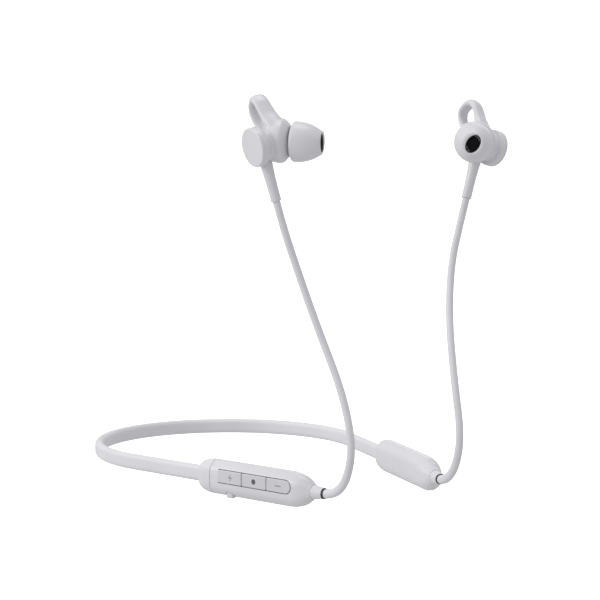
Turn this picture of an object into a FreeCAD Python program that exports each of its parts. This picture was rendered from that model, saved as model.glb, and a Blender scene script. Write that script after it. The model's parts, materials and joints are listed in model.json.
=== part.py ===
import FreeCAD, Part
import math
import os

from FreeCAD import Matrix, Vector

# Neckband earphones, in millimetres, +Z up.
# The origin is on the inner face of the band, at the nape of the neck. The band lies flat in
# the XY plane and opens towards -Y, the wearer's front. The wearer's left is +X.
# Everything on an arm or an earbud is drawn on the wearer's left, and mirrored in X where the
# wearer's right needs it.

os.makedirs("parts", exist_ok=True)

# Band
BAND_RADIUS = 46.5          # centre line of the nape's arc
BAND_HALF_ANGLE = 105.0     # degrees of arc to each side
ARM_STRAIGHT = 31.9         # from the end of the arc to the boot
BAND_THICK = 3.0
BAND_HEIGHT = 5.4
BAND_CORNER = 1.4
WIRE_RADIUS = 0.6           # memory wire and harness
WIRE_OFFSET = 1.15          # their height above and below the band's mid-plane
WIRE_GAP = 0.05

# Pods: lengths run forwards along the arm from where the boot starts
BOOT_END = 7.3
SEAM_GAP = 0.2              # between the neckband's boot and the control pod
POD_BODY_END = 42.0
NOSE_MID = 45.6
NOSE_END = 48.5
GLAND_END = 52.6
POD_END = 53.2              # outer face of the dark ring, where the cable comes out
POD_IN = 3.4                # from the arm's centre line to the flat face by the neck
POD_OUT = 4.4               # and to the face with the keys
POD_HEIGHT = 11.2
POD_CORNER = 2.6
POD_WALL = 1.05
SPLIT = -1.7                # the plane between the two shells, across the arm
GLAND_RADIUS = 2.2
RING_RADIUS = 1.75
FLANGE_AT = 42.8            # a flange holds each gland inside the nose
FLANGE_LENGTH = 0.9
FLANGE_RADIUS = 2.7

# Keys on the control pod
KEY_START = 11.05
KEY_LENGTH = 10.3
KEY_PITCH = 10.6
KEY_HEIGHT = 4.3
KEY_PROUD = 0.2
KEY_LIP = 0.45
KEY_GAP = 0.15              # round each cap
KEY_UNDER = 2.75            # depths from the arm's centre line: the cap's underside,
LIP_LOW = 2.55              # the lip behind the wall,
LIP_HIGH = 2.95
PIN_LOW = 1.87               # and the pin's end, over its switch
POWER_KEY_AT = 15.4
POWER_KEY_LENGTH = 3.4
POWER_KEY_WIDTH = 2.2
POWER_KEY_OUT = 2.6         # its middle, outwards from the arm's centre line
POWER_FOOT_IN = 0.4
POWER_FOOT_TOP = -3.42        # 0.32 below the switch, for a press of 0.3

# USB-C plug on the neckband, and its socket in the control pod
PLUG_WIDTH = 8.25
PLUG_THICK = 2.4
PLUG_LENGTH = 6.65
PLUG_WALL = 0.35
SOCKET_GAP = 0.1

# Cables
CABLE_RADIUS = 1.1
CORNER_SHARE = 0.45         # of the shorter run, for each bend's tangent length

# Earbuds: the ball's centre, the nozzle's direction and the flat back, on the wearer's left
BALL = Vector(37.8, -136.1, 109.4)
NOZZLE_ANGLE = 42.0         # degrees inwards from straight ahead
NOZZLE_DROP = 3.0           # degrees below level
BACK_CENTRE = BALL + Vector(9.85, 1.6, -2.25)
BACK_NORMAL = Vector(0.974, 0.03, -0.225).normalize()
BACK_RADIUS = 6.05
BACK_THICK = 3.0
CAP_THICK = 1.0
NECK_PLANE = 3.4            # from the ball's centre to where the back housing begins
BALL_RADIUS = 5.9
BALL_FRONT = 2.3
BALL_CAVITY = 4.8
SLEEVE_THICK = 0.95
NOZZLE_OUTER = 2.4
NOZZLE_BORE = 1.7
NOZZLE_LENGTH = 10.6
BARB_RADIUS = 2.75
BARB_LENGTH = 1.4
TIP_RADIUS = 6.2
TIP_START = 3.4
TIP_END = 12.7
TIP_BORE = 2.8
TIP_OPENING = (3.05, 2.15)  # half length and half width of the oval mouth
TIP_TURN = 32.0             # degrees that the oval leans from upright
TIP_MOUTH_FLOOR = 11.0      # where the mouth opens out of the bore
SCREEN_AT = 11.7
SCREEN_THICK = 0.25
STEM_END = Vector(37.3, -132.65, 91.0)
STEM_AXIS = Vector(0.295, 0.028, 0.955).normalize()
STEM_LENGTH = 14.5
STEM_RADII = (1.65, 1.85)    # at the cable and at the housing
WING_WIDTH = 4.6
WING_OFFSET = 2.5
WING_TURN = 12.0            # degrees that the wing's loop is turned about the vertical

# A cable's route from the pod's ring to the stem, chosen by hand, on the wearer's left
CABLE_ROUTE = [
    (22.87, -139.28, 0.0),
    (21.73, -143.53, 0.0),
    (21.3, -149.1, 5.8),
    (21.2, -151.0, 17.0),
    (22.0, -146.5, 33.0),
    (26.0, -138.3, 52.8),
    (30.4, -133.8, 70.2),
    (34.9, -132.75, 83.2),
    (37.28, -132.65, 90.95),
]

UP = Vector(0, 0, 1)
ARC_CENTRE = Vector(0, BAND_THICK / 2 - BAND_RADIUS, 0)
HALF_ANGLE = math.radians(BAND_HALF_ANGLE)
ARM_AXIS = Vector(math.cos(HALF_ANGLE), -math.sin(HALF_ANGLE), 0)
ARM_OUT = Vector(math.sin(HALF_ANGLE), math.cos(HALF_ANGLE), 0)
ARC_END = ARC_CENTRE + ARM_OUT * BAND_RADIUS
BOOT_START = ARC_END + ARM_AXIS * ARM_STRAIGHT
NOZZLE_LEVEL = Vector(-math.sin(math.radians(NOZZLE_ANGLE)), -math.cos(math.radians(NOZZLE_ANGLE)), 0)
NOZZLE_AXIS = (NOZZLE_LEVEL - UP * math.tan(math.radians(NOZZLE_DROP))).normalize()


# Helpers

def save(name, shape):
    """One sub-part, one file."""
    shape = shape.removeSplitter()
    if len(shape.Solids) == 1:
        shape = shape.Solids[0]
    assert shape.isValid() and shape.Volume > 0, name
    shape.exportStep("parts/" + name + ".step")
    print(name, round(shape.Volume, 2), "mm3", len(shape.Solids), "solid")


def mirrored(shape):
    """The same shape on the wearer's right."""
    return shape.mirror(Vector(0, 0, 0), Vector(1, 0, 0))


def placed(shape, origin, x_axis, y_axis, z_axis):
    """A shape drawn at the origin, set on three axes at a point."""
    matrix = Matrix(
        x_axis.x, y_axis.x, z_axis.x, origin.x,
        x_axis.y, y_axis.y, z_axis.y, origin.y,
        x_axis.z, y_axis.z, z_axis.z, origin.z,
        0, 0, 0, 1,
    )
    return shape.transformed(matrix, True)


def on_arm(shape):
    """From the arm's own frame, x forwards, y outwards, z up, to its place on the left."""
    return placed(shape, BOOT_START, ARM_AXIS, ARM_OUT, UP)


def box(x0, x1, y0, y1, z0, z1):
    return Part.makeBox(x1 - x0, y1 - y0, z1 - z0, Vector(x0, y0, z0))


def rounded_section(x, y0, y1, height, corner):
    """A rounded rectangle across the arm at x, as a wire."""
    top = height / 2
    knee = corner * (1 - math.sqrt(0.5))
    low, high = y0 + corner, y1 - corner
    edges = [
        Part.LineSegment(Vector(x, low, top), Vector(x, high, top)),
        Part.Arc(Vector(x, high, top), Vector(x, y1 - knee, top - knee), Vector(x, y1, top - corner)),
        Part.LineSegment(Vector(x, y1, top - corner), Vector(x, y1, corner - top)),
        Part.Arc(Vector(x, y1, corner - top), Vector(x, y1 - knee, knee - top), Vector(x, high, -top)),
        Part.LineSegment(Vector(x, high, -top), Vector(x, low, -top)),
        Part.Arc(Vector(x, low, -top), Vector(x, y0 + knee, knee - top), Vector(x, y0, corner - top)),
        Part.LineSegment(Vector(x, y0, corner - top), Vector(x, y0, top - corner)),
        Part.Arc(Vector(x, y0, top - corner), Vector(x, y0 + knee, top - knee), Vector(x, low, top)),
    ]
    return Part.Wire([edge.toShape() for edge in edges])


def bar(x0, x1, y0, y1, height, corner):
    """A straight bar of rounded section along the arm."""
    return Part.Face(rounded_section(x0, y0, y1, height, corner)).extrude(Vector(x1 - x0, 0, 0))


def tube_along(start, axis, length, radius, end_radius=None):
    if end_radius is None or end_radius == radius:
        return Part.makeCylinder(radius, length, start, axis)
    return Part.makeCone(radius, end_radius, length, start, axis)


def along_nozzle(shape):
    """From a frame with x forwards along the nozzle to its place on the left ear."""
    side = UP.cross(NOZZLE_AXIS).normalize()
    return placed(shape, BALL, NOZZLE_AXIS, side, NOZZLE_AXIS.cross(side))


def turned(points):
    """A solid turned about the x axis from an outline of points and arcs in x and radius.

    Each entry is an end point, or a pair with the arc's middle point first.
    """
    edges = []
    last = Vector(points[0][0], 0, points[0][1])
    for entry in points[1:]:
        if isinstance(entry[0], tuple):
            middle = Vector(entry[0][0], 0, entry[0][1])
            end = Vector(entry[1][0], 0, entry[1][1])
            edges.append(Part.Arc(last, middle, end).toShape())
        else:
            end = Vector(entry[0], 0, entry[1])
            edges.append(Part.LineSegment(last, end).toShape())
        last = end
    first = Vector(points[0][0], 0, points[0][1])
    edges.append(Part.LineSegment(last, first).toShape())
    face = Part.Face(Part.Wire(edges))
    return face.revolve(Vector(0, 0, 0), Vector(1, 0, 0), 360)


# Neckband

def band_sweep(section):
    """A closed wire at the nape, in the YZ plane, carried round the arc and along both arms."""
    face = Part.Face(section)
    start = face.copy()
    start.rotate(ARC_CENTRE, UP, -BAND_HALF_ANGLE)
    arc = start.revolve(ARC_CENTRE, UP, 2 * BAND_HALF_ANGLE)
    arm = start.extrude(ARM_AXIS * ARM_STRAIGHT)
    return arc.fuse([arm, mirrored(arm)])


def nape_circle(height, radius):
    circle = Part.Circle(Vector(0, BAND_THICK / 2, height), Vector(1, 0, 0), radius)
    return Part.Wire([circle.toShape()])


def neckband_jacket():
    outer = band_sweep(rounded_section(0, 0, BAND_THICK, BAND_HEIGHT, BAND_CORNER))
    for height in (WIRE_OFFSET, -WIRE_OFFSET):
        outer = outer.cut(band_sweep(nape_circle(height, WIRE_RADIUS + WIRE_GAP)))
    return outer


def boot():
    """The shoulder that widens from the band to the pod, in the arm's frame."""
    half = BAND_THICK / 2
    sections = [
        rounded_section(0, -half, half, BAND_HEIGHT, BAND_CORNER),
        rounded_section(0.8, -half - 0.6, half + 0.9, BAND_HEIGHT + 2.0, 1.8),
        rounded_section(2.4, -POD_IN + 0.6, POD_OUT - 0.9, POD_HEIGHT - 1.7, 2.3),
        rounded_section(4.0, -POD_IN + 0.2, POD_OUT - 0.3, POD_HEIGHT - 0.5, 2.5),
        rounded_section(5.8, -POD_IN, POD_OUT, POD_HEIGHT, POD_CORNER),
        rounded_section(BOOT_END, -POD_IN, POD_OUT, POD_HEIGHT, POD_CORNER),
    ]
    return Part.makeLoft(sections, True, False)


def boot_channel():
    """The harness runs through each boot."""
    start = Vector(-0.1, 0, -WIRE_OFFSET)
    return tube_along(start, Vector(1, 0, 0), BOOT_END + 0.2, WIRE_RADIUS + WIRE_GAP)


# Pods, in the arm's frame

def pod_solid(inset, start):
    """The pod's outside when inset is 0, or its hollow when inset is the wall."""
    y0, y1 = -POD_IN + inset, POD_OUT - inset
    height = POD_HEIGHT - 2 * inset
    corner = max(POD_CORNER - inset, 0.8)
    body = bar(start, POD_BODY_END, y0, y1, height, corner)
    nose = [
        rounded_section(POD_BODY_END, y0, y1, height, corner),
        rounded_section(NOSE_MID, y0 + 0.35, y1 - 0.6, height - 1.9, corner),
    ]
    if inset == 0:
        nose.append(rounded_section(NOSE_END, -2.6, 2.6, 5.6, 2.2))
    return body.fuse(Part.makeLoft(nose, True, False))


def pod_shells(start, end_wall):
    """The outer and inner shells, parted on a plane along the arm."""
    hollow = pod_solid(POD_WALL, start + end_wall)
    walls = pod_solid(0, start).cut(hollow).cut(gland_hole())
    outer = walls.common(box(0, 60, SPLIT, 10, -10, 10))
    inner = walls.common(box(0, 60, -10, SPLIT, -10, 10))
    return outer, inner


def gland_hole():
    return tube_along(Vector(FLANGE_AT, 0, 0), Vector(1, 0, 0), 20, GLAND_RADIUS)


def gland():
    flange = tube_along(Vector(FLANGE_AT, 0, 0), Vector(1, 0, 0), FLANGE_LENGTH, FLANGE_RADIUS)
    flange = flange.common(pod_solid(POD_WALL, BOOT_END))
    shank_start = FLANGE_AT + FLANGE_LENGTH / 2
    length = GLAND_END - shank_start
    shank = tube_along(Vector(shank_start, 0, 0), Vector(1, 0, 0), length, GLAND_RADIUS)
    return flange.fuse(shank.common(pod_solid(POD_WALL, BOOT_END).fuse(gland_hole())))


def ring():
    return tube_along(Vector(GLAND_END, 0, 0), Vector(1, 0, 0), POD_END - GLAND_END, RING_RADIUS)


def battery_pod():
    outer, inner = pod_shells(BOOT_END, POD_WALL)
    lead = boot_channel().fuse(tube_along(Vector(BOOT_END - 0.8, 0, -WIRE_OFFSET), Vector(1, 0, 0), 3, 0.65))
    save("battery_pod_outer_shell", on_arm(outer.cut(lead)))
    save("battery_pod_inner_shell", on_arm(inner.cut(lead)))
    save("battery_pod_boot", on_arm(boot().cut(boot_channel())))
    save("battery_cell", on_arm(bar(10.8, 36, -2.1, 2.2, 8.2, 1.2)))
    save("battery_foam_pad", on_arm(box(11.5, 35, 2.2, 3.2, -3, 3)))
    board = box(36.5, 42, -0.6, 0.2, -3.4, 3.4)
    save("battery_protection_board", on_arm(board))
    save("left_cable_gland", on_arm(gland()))
    save("left_cable_ring", on_arm(ring()))


# Control pod, drawn on the left and mirrored

def key_at(index):
    return KEY_START + index * KEY_PITCH


def strip(start, length, half, low, high, round_front):
    """A flat block under the keys' face, its front end a half circle where asked."""
    block = box(start, start + length - (half if round_front else 0), low, high, -half, half)
    if not round_front:
        return block
    centre = Vector(start + length - half, low, 0)
    return block.fuse(Part.makeCylinder(half, high - low, centre, Vector(0, 1, 0)))


def key_cap(index):
    """A cap that stands proud of the outer shell, with a lip behind the wall and a push pin."""
    half = KEY_HEIGHT / 2 - KEY_GAP
    start, length = key_at(index) + KEY_GAP, KEY_LENGTH - 2 * KEY_GAP
    cap = strip(start, length, half, KEY_UNDER, POD_OUT + KEY_PROUD, index == 2)
    lip = box(start, start + length, LIP_LOW, LIP_HIGH, -half - KEY_LIP, half + KEY_LIP)
    middle = start + length / 2
    pin = tube_along(Vector(middle, PIN_LOW, 0), Vector(0, 1, 0), 0.6, KEY_UNDER - PIN_LOW)
    return cap.fuse([lip, pin])


def key_window():
    """One window for all three keys."""
    return strip(KEY_START, 2 * KEY_PITCH + KEY_LENGTH, KEY_HEIGHT / 2, 2, 6, True)


def power_key():
    """A cap under the pod's lower edge, with a lip that keeps it in and a foot under its switch."""
    half = POWER_KEY_LENGTH / 2 - KEY_GAP
    side = POWER_KEY_WIDTH / 2 - KEY_GAP
    low = -POD_HEIGHT / 2 - 0.3
    x0, x1 = POWER_KEY_AT - half, POWER_KEY_AT + half
    cap = box(x0, x1, POWER_KEY_OUT - side, POWER_KEY_OUT + side, low, -4.0)
    lip = box(x0 - 0.5, x1 + 0.5, POWER_KEY_OUT - side, POWER_KEY_OUT, -4.25, -3.9)
    foot = box(x0 + 1.35, x1 - 0.15, POWER_FOOT_IN, POWER_KEY_OUT, -4.1, POWER_FOOT_TOP)
    return cap.fuse(lip).fuse(foot)


def power_window():
    half = POWER_KEY_LENGTH / 2
    side = POWER_KEY_WIDTH / 2
    x0, x1 = POWER_KEY_AT - half, POWER_KEY_AT + half
    return box(x0, x1, POWER_KEY_OUT - side, POWER_KEY_OUT + side, -7, -3.5)


def oval_bar(x0, x1, width, thick):
    """A USB-C outline, with fully rounded ends, along the arm."""
    return bar(x0, x1, -thick / 2, thick / 2, width, thick / 2 - 0.01)


def usb_plug():
    start, end = BOOT_END - 1.4, BOOT_END + PLUG_LENGTH
    outer = oval_bar(start, end, PLUG_WIDTH, PLUG_THICK)
    inner = oval_bar(start, end, PLUG_WIDTH - 2 * PLUG_WALL, PLUG_THICK - 2 * PLUG_WALL)
    insert = oval_bar(start, BOOT_END + 0.5, PLUG_WIDTH - 2 * PLUG_WALL, PLUG_THICK - 2 * PLUG_WALL)
    return outer.cut(inner), insert


def usb_socket():
    start, end = BOOT_END + 1.5, BOOT_END + PLUG_LENGTH + 0.6
    gap = 2 * SOCKET_GAP
    inner = oval_bar(start - 0.1, end - 0.5, PLUG_WIDTH + gap, PLUG_THICK + gap)
    outer = oval_bar(start, end, PLUG_WIDTH + gap + 0.4, PLUG_THICK + gap + 0.5)
    tongue = box(BOOT_END + 1.8, end - 0.5, -0.35, 0.35, -3.2, 3.2)
    return outer.cut(inner), tongue


def neckband_plug():
    outer, insert = usb_plug()
    pocket = oval_bar(BOOT_END - 1.4, BOOT_END + 0.1, PLUG_WIDTH, PLUG_THICK)
    save("plug_boot", mirrored(on_arm(boot().cut(boot_channel()).cut(pocket))))
    save("usb_plug_shell", mirrored(on_arm(outer)))
    save("usb_plug_insert", mirrored(on_arm(insert)))


def control_pod():
    start = BOOT_END + SEAM_GAP
    outer, inner = pod_shells(start, POD_WALL)
    mouth = oval_bar(start - 1, start + 2, PLUG_WIDTH + 0.3, PLUG_THICK + 0.3)
    seat, tongue = usb_socket()
    outer = outer.cut(mouth).cut(power_window())
    inner = inner.cut(mouth)
    outer = outer.cut(key_window())
    port = tube_along(Vector(30, -1, 0), Vector(0, -1, 0), 4, 0.5)
    save("control_pod_outer_shell", mirrored(on_arm(outer)))
    save("control_pod_inner_shell", mirrored(on_arm(inner.cut(port))))
    save("usb_socket_shell", mirrored(on_arm(seat)))
    save("usb_socket_tongue", mirrored(on_arm(tongue)))
    save("main_board", mirrored(on_arm(box(14.7, 41.5, -0.9, -0.1, -4.1, 4.1))))
    save("bluetooth_module", mirrored(on_arm(box(33, 41, -2.2, -0.9, -3, 3))))
    save("microphone", mirrored(on_arm(box(28.6, 31.4, -2.0, -0.9, -1, 1))))
    save("power_switch", mirrored(on_arm(box(15, 18, -0.1, 1.6, -3.1, -1.7))))
    names = ("volume_up", "multifunction", "volume_down")
    for index, name in enumerate(names):
        middle = key_at(index) + KEY_LENGTH / 2
        switch = box(middle - 1.5, middle + 1.5, -0.1, 1.0, -1.5, 1.5)
        plunger = tube_along(Vector(middle, 1.0, 0), Vector(0, 1, 0), 0.5, 0.8)
        save(name + "_switch", mirrored(on_arm(switch.fuse(plunger))))
        save(name + "_key", mirrored(on_arm(key_cap(index))))
    save("power_key", mirrored(on_arm(power_key())))
    save("right_cable_gland", mirrored(on_arm(gland())))
    save("right_cable_ring", mirrored(on_arm(ring())))


# Cables

def cable():
    """A round cable along the route, with a tangent arc at each inner point."""
    points = [Vector(*p) for p in CABLE_ROUTE]
    edges = []
    last = points[0]
    for before, corner, after in zip(points, points[1:], points[2:]):
        back, ahead = before - corner, after - corner
        half_turn = (math.pi - back.getAngle(ahead)) / 2
        share = CORNER_SHARE * min(back.Length, ahead.Length)
        radius = share / math.tan(half_turn)
        start = corner + back.normalize() * share
        end = corner + ahead.normalize() * share
        to_centre = (back + ahead).normalize()
        centre = corner + to_centre * (radius / math.cos(half_turn))
        middle = centre - to_centre * radius
        edges.append(Part.LineSegment(last, start).toShape())
        edges.append(Part.Arc(start, middle, end).toShape())
        last = end
        print("cable bend radius", round(radius, 1))
    edges.append(Part.LineSegment(last, points[-1]).toShape())
    path = Part.Wire(edges)
    circle = Part.Circle(points[0], points[1] - points[0], CABLE_RADIUS)
    shape = path.makePipeShell([Part.Wire([circle.toShape()])], True, True)
    expected = path.Length * math.pi * CABLE_RADIUS ** 2
    print("cable length", round(path.Length, 1), "volume ratio", round(shape.Volume / expected, 4))
    return shape


# Earbuds, on the wearer's left

def ball_outline(radius, front, mouth):
    """Half of a ball whose front is blunter, from its back point to the flat round the nozzle."""
    lift = radius * 0.1
    rise = math.sqrt(radius ** 2 - lift ** 2)
    return [
        (-radius, 0),
        ((-radius * math.sqrt(0.5), radius * math.sqrt(0.5)), (lift, rise)),
        ((lift + (front - lift) * 0.62, mouth + (rise - mouth) * 0.58), (front, mouth)),
        (front, 0),
    ]


def ball_side(keep_front):
    """The half space on one side of the plane between the front and back housings."""
    plane_point = BALL + BACK_NORMAL * NECK_PLANE
    disc = Part.makeCylinder(30, 40, plane_point, -BACK_NORMAL if keep_front else BACK_NORMAL)
    return disc


def disc(depth_low, depth_high, radius, end_radius=None):
    """A round solid on the back's axis, between two depths below the flat back."""
    start = BACK_CENTRE - BACK_NORMAL * depth_low
    return tube_along(start, BACK_NORMAL, depth_low - depth_high, radius, end_radius)


def neck(ball_radius, back_radius):
    """The skew neck that joins the ball to the flat back."""
    low = Part.Circle(BALL + BACK_NORMAL * NECK_PLANE, BACK_NORMAL, ball_radius)
    high = Part.Circle(BACK_CENTRE - BACK_NORMAL * BACK_THICK, BACK_NORMAL, back_radius)
    wires = [Part.Wire([low.toShape()]), Part.Wire([high.toShape()])]
    return Part.makeLoft(wires, True, True)


def back_outside():
    return neck(4.75, 5.3).fuse(disc(BACK_THICK, 0, BACK_RADIUS))


def front_outside():
    ball = along_nozzle(turned(ball_outline(BALL_RADIUS, BALL_FRONT, 3.8)))
    return ball.common(ball_side(True))


def stem_solid(extra=0.0):
    start = STEM_END
    return tube_along(start, STEM_AXIS, STEM_LENGTH, STEM_RADII[0] + extra, STEM_RADII[1] + extra)


def back_housing():
    rim = disc(BACK_THICK, CAP_THICK, BACK_RADIUS)
    shape = neck(4.75, 5.3).fuse(rim)
    return shape.cut(neck(3.7, 4.3)).cut(disc(2.4, CAP_THICK, 4.05))


def back_cap():
    shape = disc(CAP_THICK, 0, BACK_RADIUS)
    rim = [edge for edge in shape.Edges if abs(edge.CenterOfMass.distanceToPoint(BACK_CENTRE)) < 0.01]
    return shape.makeFillet(0.45, rim)


def front_housing():
    x_axis = Vector(1, 0, 0)
    origin = Vector(0, 0, 0)
    nozzle = tube_along(origin, x_axis, NOZZLE_LENGTH, NOZZLE_OUTER)
    barb_start = Vector(NOZZLE_LENGTH - BARB_LENGTH, 0, 0)
    barb = tube_along(barb_start, x_axis, BARB_LENGTH, BARB_RADIUS, BARB_RADIUS - 0.25)
    outside = front_outside().fuse([along_nozzle(nozzle), along_nozzle(barb)])
    cavity = along_nozzle(turned(ball_outline(BALL_CAVITY, 1.45, 4.5)))
    bore = along_nozzle(tube_along(origin, x_axis, NOZZLE_LENGTH + 1, NOZZLE_BORE))
    return outside.cut(cavity).cut(bore)


def driver():
    return along_nozzle(tube_along(Vector(-2.1, 0, 0), Vector(1, 0, 0), 3.0, 3.95))


def driver_gasket():
    outer = tube_along(Vector(0.9, 0, 0), Vector(1, 0, 0), 0.5, 3.95)
    return along_nozzle(outer.cut(tube_along(Vector(0, 0, 0), Vector(1, 0, 0), 3, 3.1)))


def nozzle_mesh():
    return along_nozzle(tube_along(Vector(9.9, 0, 0), Vector(1, 0, 0), 0.3, NOZZLE_BORE))


def magnet():
    return disc(2.4, CAP_THICK, 4.0)


def oval_plug(start, end):
    """A bar of the mouth's oval section, between two places along the nozzle."""
    oval = Part.Ellipse(Vector(0, 0, 0), *TIP_OPENING)
    shape = Part.Face(Part.Wire([oval.toShape()])).extrude(Vector(0, 0, end - start))
    shape = placed(shape, Vector(end, 0, 0), UP, Vector(0, 1, 0), Vector(-1, 0, 0))
    shape.rotate(Vector(0, 0, 0), Vector(1, 0, 0), TIP_TURN)
    return shape


def ear_tip():
    """A soft tip: a core on the nozzle, and a skirt folded back from its front."""
    outline = [
        (5.0, TIP_BORE),
        (TIP_MOUTH_FLOOR, TIP_BORE),
        (TIP_MOUTH_FLOOR, 2.0),
        (TIP_END, 2.0),
        (TIP_END, 3.1),
        ((12.55, 3.5), (12.1, 3.85)),
        ((8.4, 5.68), (4.4, TIP_RADIUS)),
        ((3.75, 5.93), (TIP_START, 5.3)),
        (4.3, 5.25),
        ((8.0, 4.9), (10.8, 3.6)),
        (5.0, 3.5),
    ]
    return along_nozzle(turned(outline).cut(oval_plug(TIP_MOUTH_FLOOR, TIP_END + 1)))


def tip_screen():
    """The fine screen that closes the tip's oval mouth."""
    return along_nozzle(oval_plug(SCREEN_AT, SCREEN_AT + SCREEN_THICK))


def wing_point(back, up, across):
    """A point of the wing's own frame: backwards, upwards and outwards from the ball's centre."""
    turn = math.radians(WING_TURN)
    backward = Vector(-math.sin(turn), math.cos(turn), 0)
    upward = Vector(0.225, 0, 0.974)
    outward = backward.cross(upward).normalize()
    return BALL + backward * back + upward * up + outward * across


def wing_outline(points, across):
    """Line, arc over the top, arc down the back, and a line home inside the ball."""
    p = [wing_point(back, up, across) for back, up in points]
    edges = [
        Part.LineSegment(p[0], p[1]),
        Part.Arc(p[1], p[2], p[3]),
        Part.Arc(p[3], p[4], p[5]),
        Part.LineSegment(p[5], p[6]),
        Part.LineSegment(p[6], p[0]),
    ]
    return Part.Face(Part.Wire([edge.toShape() for edge in edges]))


def ear_wing():
    """The soft sleeve over the ball, with the looped wing that holds in the ear's fold."""
    across = WING_OFFSET - WING_WIDTH / 2
    outer = [(-0.4, 6.2), (2.95, 11.7), (6.4, 14.75), (10.05, 10.6), (9.3, 7.1), (6.7, 3.8), (3.0, 1.0)]
    inner = [(1.2, 6.2), (4.3, 11.1), (6.5, 13.1), (8.65, 10.5), (7.9, 7.6), (5.6, 5.1), (3.0, 3.0)]
    width = wing_point(0, 0, WING_WIDTH) - wing_point(0, 0, 0)
    loop = wing_outline(outer, across).extrude(width)
    loop = loop.cut(wing_outline(inner, across).extrude(width))
    outline = ball_outline(BALL_RADIUS + SLEEVE_THICK, BALL_FRONT + 0.75, 4.3)
    ball = along_nozzle(turned(outline)).common(ball_side(True))
    hole = along_nozzle(tube_along(Vector(0, 0, 0), Vector(1, 0, 0), 5, 2.9))
    inside = along_nozzle(turned(ball_outline(BALL_RADIUS, BALL_FRONT, 3.8)))
    sleeve = ball.fuse(loop).cut(inside).cut(hole)
    return sleeve.cut(back_outside()).cut(stem_solid(0.15))


def stem():
    shape = stem_solid().cut(back_outside()).cut(front_outside())
    pieces = sorted(shape.Solids, key=lambda solid: solid.Volume)
    return pieces[-1]


def earbuds():
    makers = {
        "back_cap": back_cap,
        "back_housing": back_housing,
        "front_housing": front_housing,
        "magnet": magnet,
        "driver": driver,
        "driver_gasket": driver_gasket,
        "nozzle_mesh": nozzle_mesh,
        "ear_tip": ear_tip,
        "tip_screen": tip_screen,
        "ear_wing": ear_wing,
        "stem": stem,
    }
    for name, make in makers.items():
        shape = make()
        save("left_" + name, shape)
        save("right_" + name, mirrored(shape))


def main():
    save("neckband_jacket", neckband_jacket())
    save("memory_wire", band_sweep(nape_circle(WIRE_OFFSET, WIRE_RADIUS)))
    save("wire_harness", band_sweep(nape_circle(-WIRE_OFFSET, WIRE_RADIUS)))
    battery_pod()
    neckband_plug()
    control_pod()
    left_cable = cable()
    save("left_cable", left_cable)
    save("right_cable", mirrored(left_cable))
    earbuds()


main()
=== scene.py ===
import bisect
import json
import math

import bmesh
import bpy
from mathutils import Matrix, Vector


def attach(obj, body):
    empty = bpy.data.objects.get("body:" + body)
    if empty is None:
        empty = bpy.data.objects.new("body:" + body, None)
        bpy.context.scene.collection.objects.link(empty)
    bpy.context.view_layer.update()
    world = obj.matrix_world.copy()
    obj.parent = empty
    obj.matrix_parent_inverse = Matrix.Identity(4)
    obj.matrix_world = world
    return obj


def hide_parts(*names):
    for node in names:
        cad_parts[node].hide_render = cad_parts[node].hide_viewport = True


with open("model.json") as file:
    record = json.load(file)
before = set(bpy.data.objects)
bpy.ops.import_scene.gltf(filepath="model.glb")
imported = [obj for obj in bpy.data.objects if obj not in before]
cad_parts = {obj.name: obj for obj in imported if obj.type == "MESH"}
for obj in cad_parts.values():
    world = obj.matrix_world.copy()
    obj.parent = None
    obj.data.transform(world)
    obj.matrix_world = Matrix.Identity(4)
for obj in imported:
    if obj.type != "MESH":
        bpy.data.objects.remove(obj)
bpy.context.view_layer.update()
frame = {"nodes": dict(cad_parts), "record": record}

# Lengths in this script are millimetres, and turn into metres where a mesh or curve is made.
# The frame is the CAD model's: +Z up, the wearer's front is -Y and the wearer's left is +X.
# Everything on an arm or an earbud is drawn for the left, side 1, and mirrored in X for side -1.

MM = 0.001
LEFT, RIGHT = 1, -1
SIDE_NAMES = {LEFT: "left", RIGHT: "right"}
BUD_BODY = {LEFT: "neckband", RIGHT: "control_pod"}

# Band and arms
BAND_RADIUS = 46.5
BAND_HALF_ANGLE = math.radians(105)
ARM_STRAIGHT = 31.9
BAND_THICK, BAND_HEIGHT, BAND_CORNER = 3.0, 5.4, 1.4
UP = Vector((0, 0, 1))
ARC_CENTRE = Vector((0, BAND_THICK / 2 - BAND_RADIUS, 0))
ARM_AXIS = Vector((math.cos(BAND_HALF_ANGLE), -math.sin(BAND_HALF_ANGLE), 0))
ARM_OUT = Vector((math.sin(BAND_HALF_ANGLE), math.cos(BAND_HALF_ANGLE), 0))
BOOT_START = ARC_CENTRE + ARM_OUT * BAND_RADIUS + ARM_AXIS * ARM_STRAIGHT

# Pods, along the arm from the boot's start
BOOT_END, CONTROL_START = 7.3, 7.5
SEAM_ROUNDING = 0.09        # on both edges of the seam
SEAM_NARROWER = 0.06        # than the CAD's gap between them
POD_WALL = 1.05
NOSE_END = 48.5
NOSE_ROUNDING = 0.3
HOLLOW_END = 45.8
POD_OUT = 4.4

# Keys
KEY_START, KEY_LENGTH, KEY_PITCH, KEY_HEIGHT = 11.05, 10.3, 10.6, 4.6
KEY_RISE = 1.05             # the strip's middle above the arm's centre line
KEY_TOP = POD_OUT + 0.2
KEY_UNDER = 2.75            # a cap's underside
KEY_GROOVE = 0.3
KEY_CORNER = 0.35
KEY_RIM = 0.22              # the rounding of a cap's rim
SYMBOL_SHIFTS = (0.4, 0.0, -0.1)
POWER_KEY_AT, POWER_KEY_OUT, POWER_KEY_LENGTH, POWER_KEY_WIDTH = 15.4, 2.6, 3.4, 2.2
POWER_GAP = 0.2             # round the power key
POWER_TOP, POWER_LOW, POWER_RIM = 4.0, 5.9, 0.35

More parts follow.
